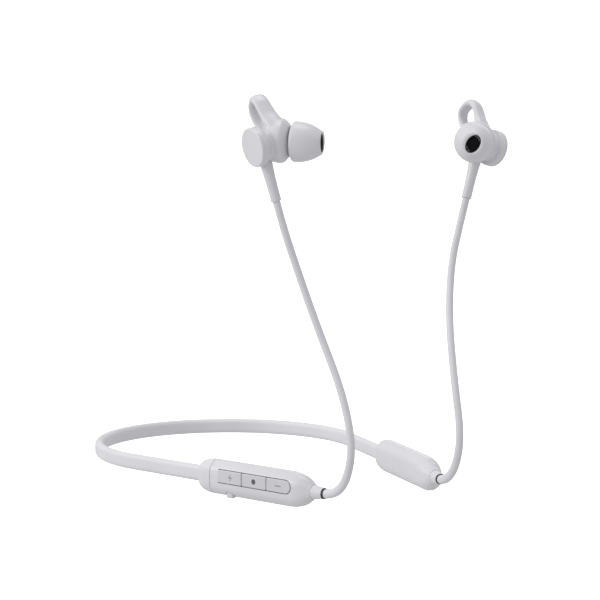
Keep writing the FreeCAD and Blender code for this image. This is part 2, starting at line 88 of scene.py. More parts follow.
# Earbuds
BALL = Vector((37.8, -136.1, 109.4))
NOZZLE_ANGLE = math.radians(42)
NOZZLE_DROP = math.radians(3)
NOZZLE_AXIS = Vector((-math.sin(NOZZLE_ANGLE), -math.cos(NOZZLE_ANGLE), -math.tan(NOZZLE_DROP))).normalized()
BACK_CENTRE = BALL + Vector((9.85, 1.2, -2.25))
BACK_NORMAL = Vector((0.974, 0.03, -0.225)).normalized()
BACK_RADIUS, BACK_THICK = 6.05, 3.0
STEM_END = Vector((37.3, -132.65, 91.0))
STEM_AXIS = Vector((0.295, 0.028, 0.955)).normalized()
TIP_OVAL = (3.05, 2.15)
TIP_RADIUS = 6.2
TIP_OVAL_TURN = math.radians(32)
WING_TURN = math.radians(12)
WING_FLATNESS = (0.92, 0.76)        # powers of the loop's section, in its thickness and its width
WING_VOXEL = 0.14
WING_SMOOTHING, WING_SMOOTHINGS = 0.6, 20

# The cable's route on the wearer's left, from the pod's ring to the stem. The second, third and fourth
# points are moved a little from the CAD's, and CABLE_SWELL thickens the cable at each point.
CABLE_DIAMETER = 2.2
CABLE_ROUTE = [
    (22.87, -139.28, 0.0),
    (21.73, -143.53, 0.45),
    (21.4, -148.95, 6.35),
    (21.2, -151.2, 17.0),
    (22.0, -146.5, 33.0),
    (26.0, -138.3, 52.8),
    (30.4, -133.8, 70.2),
    (34.9, -132.75, 83.2),
    (37.28, -132.65, 90.95),
]
CABLE_SWELL = [1.36, 1.32, 1.2, 1.1, 1.1, 1.1, 1.1, 1.1, 1.1]


# Camera, with its target and distance in metres

CAMERA_RIGHT = Vector((0.8292, -0.5589, 0.0048))
CAMERA_UP = Vector((0.0430, 0.0723, 0.9965))
CAMERA_TARGET = Vector((0.00045, -0.0899, 0.05595))
CAMERA_DISTANCE = 0.611
CAMERA_LENS = 108.35


def make_camera():
    right = CAMERA_RIGHT
    back = right.cross(CAMERA_UP).normalized()
    up = back.cross(right).normalized()
    camera = bpy.data.objects.new("camera", bpy.data.cameras.new("camera"))
    bpy.context.scene.collection.objects.link(camera)
    camera.data.lens = CAMERA_LENS
    camera.data.sensor_width = 36
    camera.data.clip_start = 0.01
    camera.data.clip_end = 20
    place = CAMERA_TARGET + back * CAMERA_DISTANCE
    camera.matrix_world = Matrix.Translation(place) @ Matrix((right, up, back)).transposed().to_4x4()
    bpy.context.scene.camera = camera


make_camera()


# Materials

class Nodes:
    """A material's node tree, with short ways to add to it."""

    def __init__(self, name):
        self.material = bpy.data.materials.new(name)
        self.material.use_nodes = True
        self.tree = self.material.node_tree
        self.shader = self.tree.nodes["Principled BSDF"]
        self.place = self.add("ShaderNodeTexCoord").outputs["Object"]

    def add(self, kind, **values):
        node = self.tree.nodes.new(kind)
        for key, value in values.items():
            setattr(node, key, value)
        return node

    def link(self, out, into):
        self.tree.links.new(out, into)

    def stretched(self, scale):
        mapping = self.add("ShaderNodeMapping")
        mapping.inputs["Scale"].default_value = scale
        self.link(self.place, mapping.inputs["Vector"])
        return mapping.outputs["Vector"]

    def noise(self, scale, detail=3.0, vector=None):
        node = self.add("ShaderNodeTexNoise")
        node.inputs["Scale"].default_value = scale
        node.inputs["Detail"].default_value = detail
        self.link(vector or self.place, node.inputs["Vector"])
        return node.outputs["Fac"]

    def cells(self, scale, vector=None):
        node = self.add("ShaderNodeTexVoronoi")
        node.inputs["Scale"].default_value = scale
        self.link(vector or self.place, node.inputs["Vector"])
        return node.outputs["Distance"]

    def spread(self, factor, low, high):
        node = self.add("ShaderNodeMapRange")
        self.link(factor, node.inputs["Value"])
        node.inputs["From Min"].default_value = 0.3
        node.inputs["From Max"].default_value = 0.7
        node.inputs["To Min"].default_value = low
        node.inputs["To Max"].default_value = high
        return node.outputs["Result"]

    def tint(self, factor, low, high):
        node = self.add("ShaderNodeMix", data_type="RGBA")
        self.link(self.spread(factor, 0, 1), node.inputs["Factor"])
        colours = [socket for socket in node.inputs if socket.type == "RGBA"]
        colours[0].default_value = (*low, 1)
        colours[1].default_value = (*high, 1)
        return [socket for socket in node.outputs if socket.type == "RGBA"][0]

    def bumps(self, *layers):
        """Bumps stacked on each other: each layer is (height, strength, depth in millimetres)."""
        last = None
        for height, strength, depth in layers:
            node = self.add("ShaderNodeBump")
            node.inputs["Strength"].default_value = strength
            node.inputs["Distance"].default_value = depth * MM
            self.link(height, node.inputs["Height"])
            if last:
                self.link(last, node.inputs["Normal"])
            last = node.outputs["Normal"]
        self.link(last, self.shader.inputs["Normal"])

    def colour(self, out):
        self.link(out, self.shader.inputs["Base Color"])

    def roughness(self, out):
        self.link(out, self.shader.inputs["Roughness"])

    def set(self, **values):
        for key, value in values.items():
            self.shader.inputs[key.replace("_", " ")].default_value = value


def shade(colour, factor):
    return tuple(min(1.0, channel * factor) for channel in colour)


def moulded(name, colour, rough, grain=7000, grain_depth=0.012, spread=0.025, orange=0.02, **values):
    """Moulded plastic or silicone: soft blotches, fine grain, a faint unevenness, and dulled spots."""
    nodes = Nodes(name)
    blotch = nodes.noise(70, 4)
    smear = nodes.noise(420, 5)
    nodes.colour(nodes.tint(blotch, shade(colour, 1 - spread), shade(colour, 1 + spread)))
    nodes.roughness(nodes.spread(smear, rough - 0.045, rough + 0.045))
    nodes.bumps(
        (nodes.noise(240, 2), 0.5, orange),
        (nodes.cells(grain), 0.55, grain_depth),
    )
    nodes.set(**values)
    return nodes.material


def brushed(name, colour, rough, spread=0.08):
    """Drawn or brushed metal with fine scratches."""
    nodes = Nodes(name)
    lines = nodes.noise(260, 6, nodes.stretched((1, 12, 60)))
    nodes.colour(nodes.tint(lines, shade(colour, 1 - spread), shade(colour, 1 + spread)))
    nodes.roughness(nodes.spread(nodes.noise(700, 4), rough - 0.06, rough + 0.08))
    nodes.bumps((lines, 0.4, 0.01))
    nodes.set(Metallic=1.0)
    return nodes.material


def woven(name, colour, pitch):
    """A fine woven screen: two crossed waves."""
    nodes = Nodes(name)
    waves = []
    for direction in ("X", "Z"):
        wave = nodes.add("ShaderNodeTexWave", bands_direction=direction)
        wave.inputs["Scale"].default_value = 0.314 / (pitch * MM)
        wave.inputs["Distortion"].default_value = 0.4
        nodes.link(nodes.place, wave.inputs["Vector"])
        waves.append(wave.outputs["Fac"])
    both = nodes.add("ShaderNodeMath", operation="MULTIPLY")
    nodes.link(waves[0], both.inputs[0])
    nodes.link(waves[1], both.inputs[1])
    nodes.colour(nodes.tint(both.outputs[0], shade(colour, 0.4), shade(colour, 1.6)))
    nodes.roughness(nodes.spread(nodes.noise(900), 0.6, 0.75))
    nodes.bumps((both.outputs[0], 0.8, 0.06))
    nodes.set(Specular_IOR_Level=0.15)
    return nodes.material


def circuit(name, colour):
    """Solder mask over fine tracks."""
    nodes = Nodes(name)
    tracks = nodes.cells(900, nodes.stretched((1, 1, 3)))
    nodes.colour(nodes.tint(tracks, shade(colour, 1.5), shade(colour, 0.7)))
    nodes.roughness(nodes.spread(nodes.noise(500), 0.28, 0.42))
    nodes.bumps((tracks, 0.5, 0.03))
    return nodes.material


PALE = (0.700, 0.692, 0.722)
SOFT = dict(Sheen_Weight=0.06, Sheen_Roughness=0.4, Specular_IOR_Level=0.42)
MATERIALS = {
    "band_silicone": moulded("band_silicone", shade(PALE, 1.03), 0.50, **SOFT),
    "pod_plastic": moulded("pod_plastic", PALE, 0.33, grain=9000, grain_depth=0.008, orange=0.012),
    "key_plastic": moulded("key_plastic", shade(PALE, 0.90), 0.36, grain=11000, grain_depth=0.006),
    "gland_silicone": moulded("gland_silicone", shade(PALE, 1.0), 0.5, **SOFT),
    # Painted shade: dark_ring is near black for the shadowed groove where the cable leaves the gland
    "dark_ring": moulded("dark_ring", (0.006, 0.006, 0.008), 0.42, spread=0.3),
    "cable_jacket": moulded("cable_jacket", shade(PALE, 1.02), 0.44, grain=6000, **SOFT),
    "bud_plastic": moulded("bud_plastic", shade(PALE, 1.0), 0.32, grain=9000, grain_depth=0.007),
    "wing_silicone": moulded("wing_silicone", shade(PALE, 1.0), 0.33, **SOFT),
    "tip_silicone": moulded("tip_silicone", shade(PALE, 0.99), 0.36, **SOFT),
    "mesh_black": woven("mesh_black", (0.004, 0.004, 0.005), 0.18),
    "steel": brushed("steel", (0.62, 0.62, 0.64), 0.28),
    "spring_steel": brushed("spring_steel", (0.42, 0.41, 0.40), 0.34),
    "insulator": moulded("insulator", (0.012, 0.012, 0.013), 0.5, spread=0.2),
    "board_green": circuit("board_green", (0.010, 0.085, 0.035)),
    "battery_wrap": moulded("battery_wrap", (0.10, 0.19, 0.34), 0.3, orange=0.05),
    "foam": moulded("foam", (0.03, 0.03, 0.03), 0.9, grain=2500, grain_depth=0.1, spread=0.3),
    "harness_jacket": moulded("harness_jacket", (0.03, 0.03, 0.032), 0.5, spread=0.15),
    "magnet_plate": brushed("magnet_plate", (0.55, 0.55, 0.58), 0.22),
    "driver_can": brushed("driver_can", (0.5, 0.48, 0.45), 0.3),
}
SYMBOL_PALE = moulded("symbol_pale", (0.30, 0.297, 0.32), 0.45, spread=0.12)
SYMBOL_DARK = moulded("symbol_dark", (0.11, 0.108, 0.125), 0.45, spread=0.15)
# Painted shade: a dark grey for the inside of the tip's mouth, where its wall lies in shade
MOUTH_SHADE_GREY = moulded("mouth_shade_grey", (0.075, 0.074, 0.084), 0.62, spread=0.15, Specular_IOR_Level=0.2)


def finish_cad_nodes():
    for row in frame["record"]["subparts"]:
        node = frame["nodes"].get(row["node"])
        if node is None:
            continue
        material = MATERIALS[row["material_slot"]]
        if not node.material_slots:
            node.data.materials.append(material)
        for material_slot in node.material_slots:
            material_slot.material = material


finish_cad_nodes()


# Mesh making

def settle(piece, body, replaced):
    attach(piece, body)
    if replaced:
        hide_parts(*replaced)
    return piece


def make_mesh(name, points, faces, sharp=38):
    """A mesh object from points in millimetres, with its faces turned outwards."""
    mesh = bpy.data.meshes.new(name)
    mesh.from_pydata([tuple(point * MM) for point in points], [], faces)
    clean(mesh, sharp)
    piece = bpy.data.objects.new(name, mesh)
    bpy.context.scene.collection.objects.link(piece)
    return piece


def clean(mesh, sharp):
    work = bmesh.new()
    work.from_mesh(mesh)
    bmesh.ops.remove_doubles(work, verts=work.verts, dist=1e-7)
    bmesh.ops.recalc_face_normals(work, faces=work.faces)
    work.to_mesh(mesh)
    work.free()
    mesh.shade_smooth()
    mesh.set_sharp_from_angle(angle=math.radians(sharp))
    mesh.validate()


def skin(rings, loop=False):
    """Points and faces of a closed skin over rings of equal count, capped or joined end to end."""
    count = len(rings[0])
    points = [point for ring in rings for point in ring]
    spans = len(rings) if loop else len(rings) - 1
    faces = []
    for row in range(spans):
        here, there = row * count, ((row + 1) % len(rings)) * count
        for i in range(count):
            j = (i + 1) % count
            faces.append((here + i, here + j, there + j, there + i))
    if not loop:
        faces.append(tuple(reversed(range(count))))
        faces.append(tuple(range((len(rings) - 1) * count, len(rings) * count)))
    return points, faces


def solid(name, rings, material, body, replaced=(), loop=False, sharp=38):
    piece = make_mesh(name, *skin(rings, loop), sharp=sharp)
    piece.data.materials.append(MATERIALS[material])
    return settle(piece, body, replaced)


def apply_modifiers(piece, sharp=38):
    """Turns the piece's modifiers into its mesh."""
    graph = bpy.context.evaluated_depsgraph_get()
    graph.update()
    mesh = bpy.data.meshes.new_from_object(piece.evaluated_get(graph))
    piece.modifiers.clear()
    old = piece.data
    piece.data = mesh
    bpy.data.meshes.remove(old)
    clean(mesh, sharp)


def combine(piece, others, operation, sharp=38):
    """A boolean with each of the others, which are then removed."""
    for other in others:
        modifier = piece.modifiers.new("cut", "BOOLEAN")
        modifier.operation = operation
        modifier.solver = "EXACT"
        modifier.object = other
    apply_modifiers(piece, sharp)
    for other in others:
        bpy.data.objects.remove(other)


def flipped(point, side):
    return Vector((point.x * side, point.y, point.z))


def arm_point(x, y, z, side):
    """From the arm's frame, x forwards, y outwards, z up."""
    return flipped(BOOT_START + ARM_AXIS * x + ARM_OUT * y + UP * z, side)


def profile(rows, x):
    """Smooth values at x between rows of (x, value, value, ...), with no overshoot."""
    places = [row[0] for row in rows]
    i = max(0, min(len(rows) - 2, bisect.bisect_right(places, x) - 1))
    span = places[i + 1] - places[i]
    t = min(1.0, max(0.0, (x - places[i]) / span))
    values = []
    for column in range(1, len(rows[0])):
        def slope(k):
            return (rows[k + 1][column] - rows[k][column]) / (places[k + 1] - places[k])

        def tangent(k):
            if k == 0:
                return slope(0)
            if k == len(rows) - 1:
                return slope(k - 1)
            before, after = slope(k - 1), slope(k)
            if before * after <= 0:
                return 0.0
            return 2 * before * after / (before + after)

        a, b = rows[i][column], rows[i + 1][column]
        m, n = tangent(i) * span, tangent(i + 1) * span
        values.append(
            a * (2 * t ** 3 - 3 * t ** 2 + 1) + m * (t ** 3 - 2 * t ** 2 + t)
            + b * (3 * t ** 2 - 2 * t ** 3) + n * (t ** 3 - t ** 2)
        )
    return values


def rounded_outline(x0, x1, z0, z1, corner, facet=0.0, steps=8, edge=3):
    """A rounded rectangle. facet blends each round corner towards a flat chamfer."""
    centres = [
        (x1 - corner, z1 - corner, 0), (x0 + corner, z1 - corner, 90),
        (x0 + corner, z0 + corner, 180), (x1 - corner, z0 + corner, 270),
    ]
    corners = []
    for cx, cz, first in centres:
        arc = []
        for k in range(steps + 1):
            share = k / steps
            angle = math.radians(first + 90 * share)
            a, b = math.radians(first), math.radians(first + 90)
            flat = (math.cos(a) * (1 - share) + math.cos(b) * share,
                    math.sin(a) * (1 - share) + math.sin(b) * share)
            arc.append((cx + corner * (math.cos(angle) * (1 - facet) + flat[0] * facet),
                        cz + corner * (math.sin(angle) * (1 - facet) + flat[1] * facet)))
        corners.append(arc)
    outline = []
    for index, arc in enumerate(corners):
        outline.extend(arc)
        following = corners[(index + 1) % 4][0]
        for k in range(1, edge):
            share = k / edge
            outline.append((arc[-1][0] * (1 - share) + following[0] * share,
                            arc[-1][1] * (1 - share) + following[1] * share))
    return outline


def inset(outline, amount):
    """Each point moved inwards, square to the outline. The outline runs anticlockwise."""
    moved = []
    for i, (x, z) in enumerate(outline):
        before, after = outline[i - 1], outline[(i + 1) % len(outline)]
        dx, dz = after[0] - before[0], after[1] - before[1]
        size = math.hypot(dx, dz) or 1.0
        moved.append((x - dz / size * amount, z + dx / size * amount))
    return moved


def slab(outline, low, high, rounding, place):
    """Rings of a plate with a rounded rim on its high face. place(x, depth, z) gives each point."""
    rings = [[place(x, low, z) for x, z in outline]]
    steps = 5
    for k in range(steps + 1):
        angle = math.radians(90 * k / steps)
        rim = inset(outline, rounding * (1 - math.cos(angle)))
        rings.append([place(x, high - rounding * (1 - math.sin(angle)), z) for x, z in rim])
    rings.append([place(x, high, z) for x, z in inset(outline, rounding * 1.6)])
    return rings


def axes_about(axis):
    """Two directions square to an axis that isn't upright."""
    side = axis.cross(UP)
    side.normalize()
    return side, side.cross(axis).normalized()


def turned(outline, origin, axis, side, count=72, wave=None):
    """Rings about an axis from rows of (along, radius). wave(angle, row, radius) may change a radius."""
    across, up = axes_about(axis)
    rings = []
    for row, (along, radius) in enumerate(outline):
        ring = []
        for k in range(count):
            angle = 2 * math.pi * k / count
            r = wave(angle, row, radius) if wave else radius
            point = origin + axis * along + (across * math.cos(angle) + up * math.sin(angle)) * r
            ring.append(flipped(point, side))
        rings.append(ring)
    return rings


def arc_rows(start, middle, end, steps):
    """Points on the arc through three points, the first one left out."""
    (ax, ay), (bx, by), (cx, cy) = start, middle, end
    d = 2 * (ax * (by - cy) + bx * (cy - ay) + cx * (ay - by))
    ux = ((ax**2 + ay**2) * (by - cy) + (bx**2 + by**2) * (cy - ay) + (cx**2 + cy**2) * (ay - by)) / d
    uy = ((ax**2 + ay**2) * (cx - bx) + (bx**2 + by**2) * (ax - cx) + (cx**2 + cy**2) * (bx - ax)) / d
    radius = math.hypot(ax - ux, ay - uy)
    a, b, c = (math.atan2(y - uy, x - ux) for x, y in (start, middle, end))
    turn = 2 * math.pi
    sweep = (c - a) % turn
    if (b - a) % turn > sweep:
        sweep -= turn
    return [(ux + radius * math.cos(a + sweep * k / steps), uy + radius * math.sin(a + sweep * k / steps))
            for k in range(1, steps + 1)]


# Cords

def make_cable(side):
    """The cable from the pod's ring up to the earbud's stem."""
    name = SIDE_NAMES[side] + "_cord"
    curve = bpy.data.curves.new(name, "CURVE")
    curve.dimensions = "3D"
    curve.bevel_depth = CABLE_DIAMETER / 2 * MM
    curve.bevel_resolution = 8
    curve.resolution_u = 24
    curve.use_fill_caps = True
    spline = curve.splines.new("NURBS")
    spline.points.add(len(CABLE_ROUTE) - 1)
    for point, (x, y, z), swell in zip(spline.points, CABLE_ROUTE, CABLE_SWELL):
        point.co = (x * side * MM, y * MM, z * MM, 1)
        point.radius = swell
    spline.order_u = 3
    spline.use_endpoint_u = True
    curve.materials.append(MATERIALS["cable_jacket"])
    cord = bpy.data.objects.new(name, curve)
    bpy.context.scene.collection.objects.link(cord)
    settle(cord, BUD_BODY[side], [SIDE_NAMES[side] + "_cable"])
    x, y, z = CABLE_ROUTE[0]


# Band

def band_frames():
    """Places along the band's centre line and the directions outwards, from right boot to left."""
    frames = []
    for k in range(13):
        along = ARM_STRAIGHT * (1 - k / 12)
        frames.append((ARC_CENTRE + ARM_OUT * BAND_RADIUS + ARM_AXIS * along, ARM_OUT))
    frames = [(flipped(p, RIGHT), flipped(out, RIGHT)) for p, out in frames]
    steps = 96
    for k in range(1, steps):
        angle = BAND_HALF_ANGLE * (2 * k / steps - 1)
        out = Vector((math.sin(angle), math.cos(angle), 0))
        frames.append((ARC_CENTRE + out * BAND_RADIUS, out))
    for k in range(13):
        frames.append((ARC_CENTRE + ARM_OUT * BAND_RADIUS + ARM_AXIS * (ARM_STRAIGHT * k / 12), ARM_OUT))
    return frames


def make_band():
    half = BAND_THICK / 2
    outline = rounded_outline(-half, half, -BAND_HEIGHT / 2, BAND_HEIGHT / 2, BAND_CORNER, 0.15)
    rings = [[place + out * y + UP * z for y, z in outline] for place, out in band_frames()]
    solid("band_skin", rings, "band_silicone", "neckband", ["neckband_jacket"])


# Pods

POD_ROWS = [
    # along, inner face, outer face, half height, corner, facet
    (0.0, -1.5, 1.5, 2.7, 1.4, 0.15),
    (0.35, -1.95, 2.2, 3.4, 1.8, 0.2),
    (1.2, -2.5, 3.1, 4.3, 2.3, 0.3),
    (2.6, -3.0, 3.9, 5.05, 2.7, 0.4),
    (4.4, -3.3, 4.3, 5.48, 2.9, 0.5),
    (6.0, -3.4, 4.4, 5.6, 2.9, 0.5),
    (39.5, -3.4, 4.4, 5.6, 2.9, 0.5),
    (42.5, -3.32, 4.25, 5.42, 2.9, 0.45),
    (44.6, -3.15, 3.85, 4.95, 2.8, 0.4),
    (46.4, -2.85, 3.2, 4.1, 2.6, 0.3),
    (47.7, -2.5, 2.6, 3.1, 2.35, 0.15),
    (48.5, -2.3, 2.3, 2.45, 2.25, 0.0),
]

# How much lower the battery pod's nose is on top, along the pod
NOSE_SLOPE = [(0.0, 0.0), (38.0, 0.1), (41.5, 0.45), (44.4, 1.0), (46.4, 0.95), (47.7, 0.4), (48.5, 0.0)]


def pod_ring(x, side, inset_by=0.0):
    inner, outer, half, corner, facet = profile(POD_ROWS, x)
    slope = profile(NOSE_SLOPE, x)[0] if side == LEFT else 0.0
    corner = max(0.5, corner - inset_by)
    outline = rounded_outline(inner + inset_by, outer - inset_by, -half - slope / 4 + inset_by,
                              half - slope - inset_by, corner, facet)
    return [arm_point(x, y, z, side) for y, z in outline]


def pod_places(start, end):
    places = [0, 0.06, 0.15, 0.3, 0.5, 0.8, 1.2, 1.7, 2.3, 3, 3.7, 4.4, 5.2, 6, 7, 8.5, 12, 17, 22, 27, 32, 36]
    places += [39.5 + 0.5 * k for k in range(17)] + [48.0, 48.2, 48.35, 48.45]
    return [start] + [place for place in places if start + 0.05 < place < end - 0.04] + [end]


def pod_skin_rings(start, side, back_rounding=0.0):
    rings = [pod_ring(x, side) for x in pod_places(start, NOSE_END)]
    if back_rounding:
        rings.insert(0, pod_ring(start, side, back_rounding))
        rings[1] = pod_ring(start + back_rounding, side)
    inner, outer, half, corner, _ = profile(POD_ROWS, NOSE_END)
    r = NOSE_ROUNDING
    outline = rounded_outline(inner + r, outer - r, -half + r, half - r, corner - r)
    rings.append([arm_point(NOSE_END + 0.12, y, z, side) for y, z in outline])
    return rings


def make_battery_pod():
    rings = pod_skin_rings(0.0, LEFT)
    solid("battery_case", rings, "pod_plastic", "neckband",
          ["battery_pod_outer_shell", "battery_pod_inner_shell", "battery_pod_boot"])


def make_plug_boot():
    rings = [pod_ring(x, RIGHT) for x in pod_places(0.0, BOOT_END)]
    rings.append(pod_ring(BOOT_END, RIGHT, SEAM_ROUNDING))
    rings[-2] = pod_ring(BOOT_END - 0.08, RIGHT)
    solid("plug_boot_skin", rings, "band_silicone", "neckband", ["plug_boot"])


def key_outline(start, length, half, round_front):
    """Anticlockwise in x and z, with a half round front end where asked."""
    if not round_front:
        return rounded_outline(start, start + length, -half, half, KEY_CORNER, steps=4, edge=8)
    outline = []
    centre = start + length - half
    for k in range(25):
        angle = math.radians(-90 + 180 * k / 24)
        outline.append((centre + half * math.cos(angle), half * math.sin(angle)))
    corner = KEY_CORNER
    for first, z in ((90, half - corner), (180, corner - half)):
        for k in range(5):
            angle = math.radians(first + 90 * k / 4)
            outline.append((start + corner + corner * math.cos(angle), z + corner * math.sin(angle)))
    return outline


def strip_cutter():
    outline = key_outline(KEY_START, 2 * KEY_PITCH + KEY_LENGTH, KEY_HEIGHT / 2, True)
    rings = [[arm_point(x, y, z + KEY_RISE, RIGHT) for x, z in outline] for y in (2.0, 6.0)]
    return make_mesh("strip_cutter", *skin(rings))


def block_cutter(x0, x1, y0, y1, z0, z1, corner):
    """A rounded block along the arm's height."""
    outline = rounded_outline(x0, x1, y0, y1, corner, steps=6)
    rings = [[arm_point(x, y, z, RIGHT) for x, y in outline] for z in (z0, z1)]
    return make_mesh("block_cutter", *skin(rings))


def mouth_cutter():
    outline = rounded_outline(-1.35, 1.35, -4.2, 4.2, 1.34, steps=8)
    rings = [[arm_point(x, y, z, RIGHT) for y, z in outline] for x in (CONTROL_START - 1, CONTROL_START + 1.8)]
    return make_mesh("mouth_cutter", *skin(rings))


def make_control_pod():
    rings = pod_skin_rings(CONTROL_START - SEAM_NARROWER, RIGHT, SEAM_ROUNDING)
    case = solid("control_case", rings, "pod_plastic", "control_pod",
                 ["control_pod_outer_shell", "control_pod_inner_shell"])
    hollow = [pod_ring(x, RIGHT, POD_WALL) for x in pod_places(CONTROL_START + POD_WALL, HOLLOW_END)]
    power_half, power_side = POWER_KEY_LENGTH / 2, POWER_KEY_WIDTH / 2
    cutters = [
        make_mesh("hollow_cutter", *skin(hollow)),
        strip_cutter(),
        block_cutter(POWER_KEY_AT - power_half, POWER_KEY_AT + power_half,
                     POWER_KEY_OUT - power_side, POWER_KEY_OUT + power_side, -7.5, -3.5, 0.9),
        mouth_cutter(),
    ]
    combine(case, cutters, "DIFFERENCE")


def make_keys():
    def place(x, y, z):
        return arm_point(x, y, z + KEY_RISE, RIGHT)

    names = ("volume_up", "multifunction", "volume_down")
    half = KEY_HEIGHT / 2 - KEY_GROOVE * 0.8
    for index, name in enumerate(names):
        start = KEY_START + index * KEY_PITCH + (0.06 if index == 0 else KEY_GROOVE / 2 - 0.02)
        end = KEY_START + index * KEY_PITCH + KEY_LENGTH + (0.14 if index < 2 else -KEY_GROOVE * 0.8)
        outline = key_outline(start, end - start, half, index == 2)
        rings = slab(outline, KEY_UNDER, KEY_TOP, KEY_RIM, place)
        solid(name + "_cap", rings, "key_plastic", name, [name + "_key"])
        make_symbol(name, (start + end) / 2 + SYMBOL_SHIFTS[index])


def make_symbol(name, middle):
    """Plus, dot and minus, printed thickly. The centre key's mark is a plain generic dot."""
    if name == "volume_up":
        long, thin = 0.95, 0.17
        outline = [
            (long, -thin), (long, thin), (thin, thin), (thin, long), (-thin, long), (-thin, thin),
            (-long, thin), (-long, -thin), (-thin, -thin), (-thin, -long), (thin, -long), (thin, -thin),
        ]
    elif name == "volume_down":
        outline = rounded_outline(-1.3, 1.3, -0.16, 0.16, 0.12, steps=3, edge=2)
    else:
        outline = [(0.85 * math.cos(math.radians(10 * k)), 0.85 * math.sin(math.radians(10 * k)))
                   for k in range(36)]
    rings = [[arm_point(middle + x, y, z + KEY_RISE, RIGHT) for x, z in outline]
             for y in (KEY_TOP - 0.1, KEY_TOP + 0.03)]
    piece = make_mesh(name + "_symbol", *skin(rings))
    piece.data.materials.append(SYMBOL_DARK if name == "multifunction" else SYMBOL_PALE)
    settle(piece, name, ())


def make_power_key():
    length, width = POWER_KEY_LENGTH / 2 - POWER_GAP, POWER_KEY_WIDTH / 2 - POWER_GAP
    outline = rounded_outline(POWER_KEY_AT - length, POWER_KEY_AT + length,
                              POWER_KEY_OUT - width, POWER_KEY_OUT + width, 0.75, steps=6)
    rings = slab(outline, POWER_TOP, POWER_LOW, POWER_RIM, lambda x, depth, y: arm_point(x, y, -depth, RIGHT))
    solid("power_cap", rings, "key_plastic", "power", ["power_key"])


def make_gland(side):
    name, body = SIDE_NAMES[side], BUD_BODY[side]
    base = arm_point(0, 0, 0, LEFT)
    sleeve = [(47.9, 1.7), (48.1, 2.1), (48.45, 2.12), (48.62, 2.14), (48.8, 2.24), (49.2, 2.22), (50.2, 2.05),
              (51.2, 1.92), (52.35, 1.85), (52.54, 1.8), (52.6, 1.6)]
    rings = turned(sleeve, base, ARM_AXIS, side, 56)
    solid(name + "_gland_sleeve", rings, "gland_silicone", body, [name + "_cable_gland"])
    # Painted shade: a near-black ring at the cable's exit, standing in for the shadow in the groove between
    # the sleeve and the cable
    groove_shade_ring = [(52.5, 1.3), (52.54, 1.62), (52.62, 1.74), (53.08, 1.72), (53.17, 1.64), (53.2, 1.4)]
    rings = turned(groove_shade_ring, base, ARM_AXIS, side, 56)
    solid(name + "_collar", rings, "dark_ring", body, [name + "_cable_ring"])


# Earbuds

def make_stem(side):
    name, body = SIDE_NAMES[side], BUD_BODY[side]
    rows = [(0.0, 1.2), (0.02, 1.5), (0.12, 1.62), (0.35, 1.66), (1.2, 1.62), (4.0, 1.62), (8.0, 1.74),
            (11.0, 1.92), (13.0, 2.08), (14.4, 2.2)]
    rings = turned(rows, STEM_END, STEM_AXIS, side, 48)
    solid(name + "_stem_sleeve", rings, "bud_plastic", body, [name + "_stem"])


def make_back(side):
    """The flat round magnetic back, one smooth button with a faint parting line at its cap."""
    name, body = SIDE_NAMES[side], BUD_BODY[side]
    r = BACK_RADIUS
    rows = [(-BACK_THICK - 0.5, 4.6), (-BACK_THICK - 0.12, 5.2), (-BACK_THICK + 0.1, 5.7),
            (-BACK_THICK + 0.45, 5.97), (-BACK_THICK + 0.9, r)]
    rows += [(-1.12, r), (-1.06, r - 0.07), (-1.0, r), (-0.5, r)]
    rows += [(-0.5 + 0.5 * math.sin(math.radians(a)), r - 0.5 * (1 - math.cos(math.radians(a))))
             for a in (15, 30, 45, 60, 75, 90)]
    rows += [(0.0, r - 1.0), (0.0, 3.0), (0.0, 0.6)]
    rings = turned(rows, BACK_CENTRE, BACK_NORMAL, side, 96)
    solid(name + "_back_button", rings, "bud_plastic", body,
          [name + "_back_cap", name + "_back_housing"])


def wing_point(back, up, across):
    backward = Vector((-math.sin(WING_TURN), math.cos(WING_TURN), 0))
    upward = Vector((0.225, 0, 0.974))
    outward = backward.cross(upward).normalized()
    return BALL + backward * back + upward * up + outward * across


def catmull(points, steps):
    """A smooth line through points of any size."""
    line = []
    for i in range(1, len(points) - 2):
        p = points[i - 1:i + 3]
        for k in range(steps):
            t = k / steps
            line.append([
                0.5 * (2 * b + (c - a) * t + (2 * a - 5 * b + 4 * c - d) * t ** 2
                       + (3 * b - a - 3 * c + d) * t ** 3)
                for a, b, c, d in zip(*p)
            ])
    line.append(list(points[-2]))
    return line


# The wing's loop: backwards, upwards, half thickness, half width, middle across
WING_LINE = [
    (-2.5, 1.5, 2.3, 3.2, 1.0),
    (-1.6, 3.8, 2.2, 3.2, 1.2),
    (-0.2, 6.1, 1.75, 3.0, 1.55),
    (1.35, 8.4, 1.3, 2.75, 2.05),
    (2.75, 10.7, 1.12, 2.6, 2.4),
    (4.15, 12.55, 1.2, 2.5, 2.6),
    (6.2, 13.7, 1.3, 2.45, 2.65),
    (8.15, 12.85, 1.15, 2.45, 2.65),
    (9.45, 11.0, 0.92, 2.45, 2.65),
    (9.3, 8.8, 0.88, 2.45, 2.65),
    (8.2, 6.7, 0.9, 2.45, 2.6),
    (6.5, 4.8, 1.05, 2.5, 2.4),
    (4.8, 3.0, 1.4, 2.6, 2.3),
    (3.0, 1.4, 1.5, 2.5, 2.0),
    (1.5, 0.0, 1.5, 2.5, 2.0),
]


def wing_loop(side):
    line = catmull(WING_LINE, 6)
    rings = []
    for i, (back, up, thick, width, middle) in enumerate(line):
        before, after = line[max(0, i - 1)], line[min(len(line) - 1, i + 1)]
        db, du = after[0] - before[0], after[1] - before[1]
        size = math.hypot(db, du)
        nb, nu = -du / size, db / size
        ring = []
        for k in range(40):
            angle = 2 * math.pi * k / 40
            c, s = math.cos(angle), math.sin(angle)
            a = math.copysign(abs(c) ** WING_FLATNESS[0], c) * thick
            b = math.copysign(abs(s) ** WING_FLATNESS[1], s) * width
            ring.append(flipped(wing_point(back + nb * a, up + nu * a, middle + b), side))
        rings.append(ring)
    return make_mesh("wing_loop", *skin(rings))


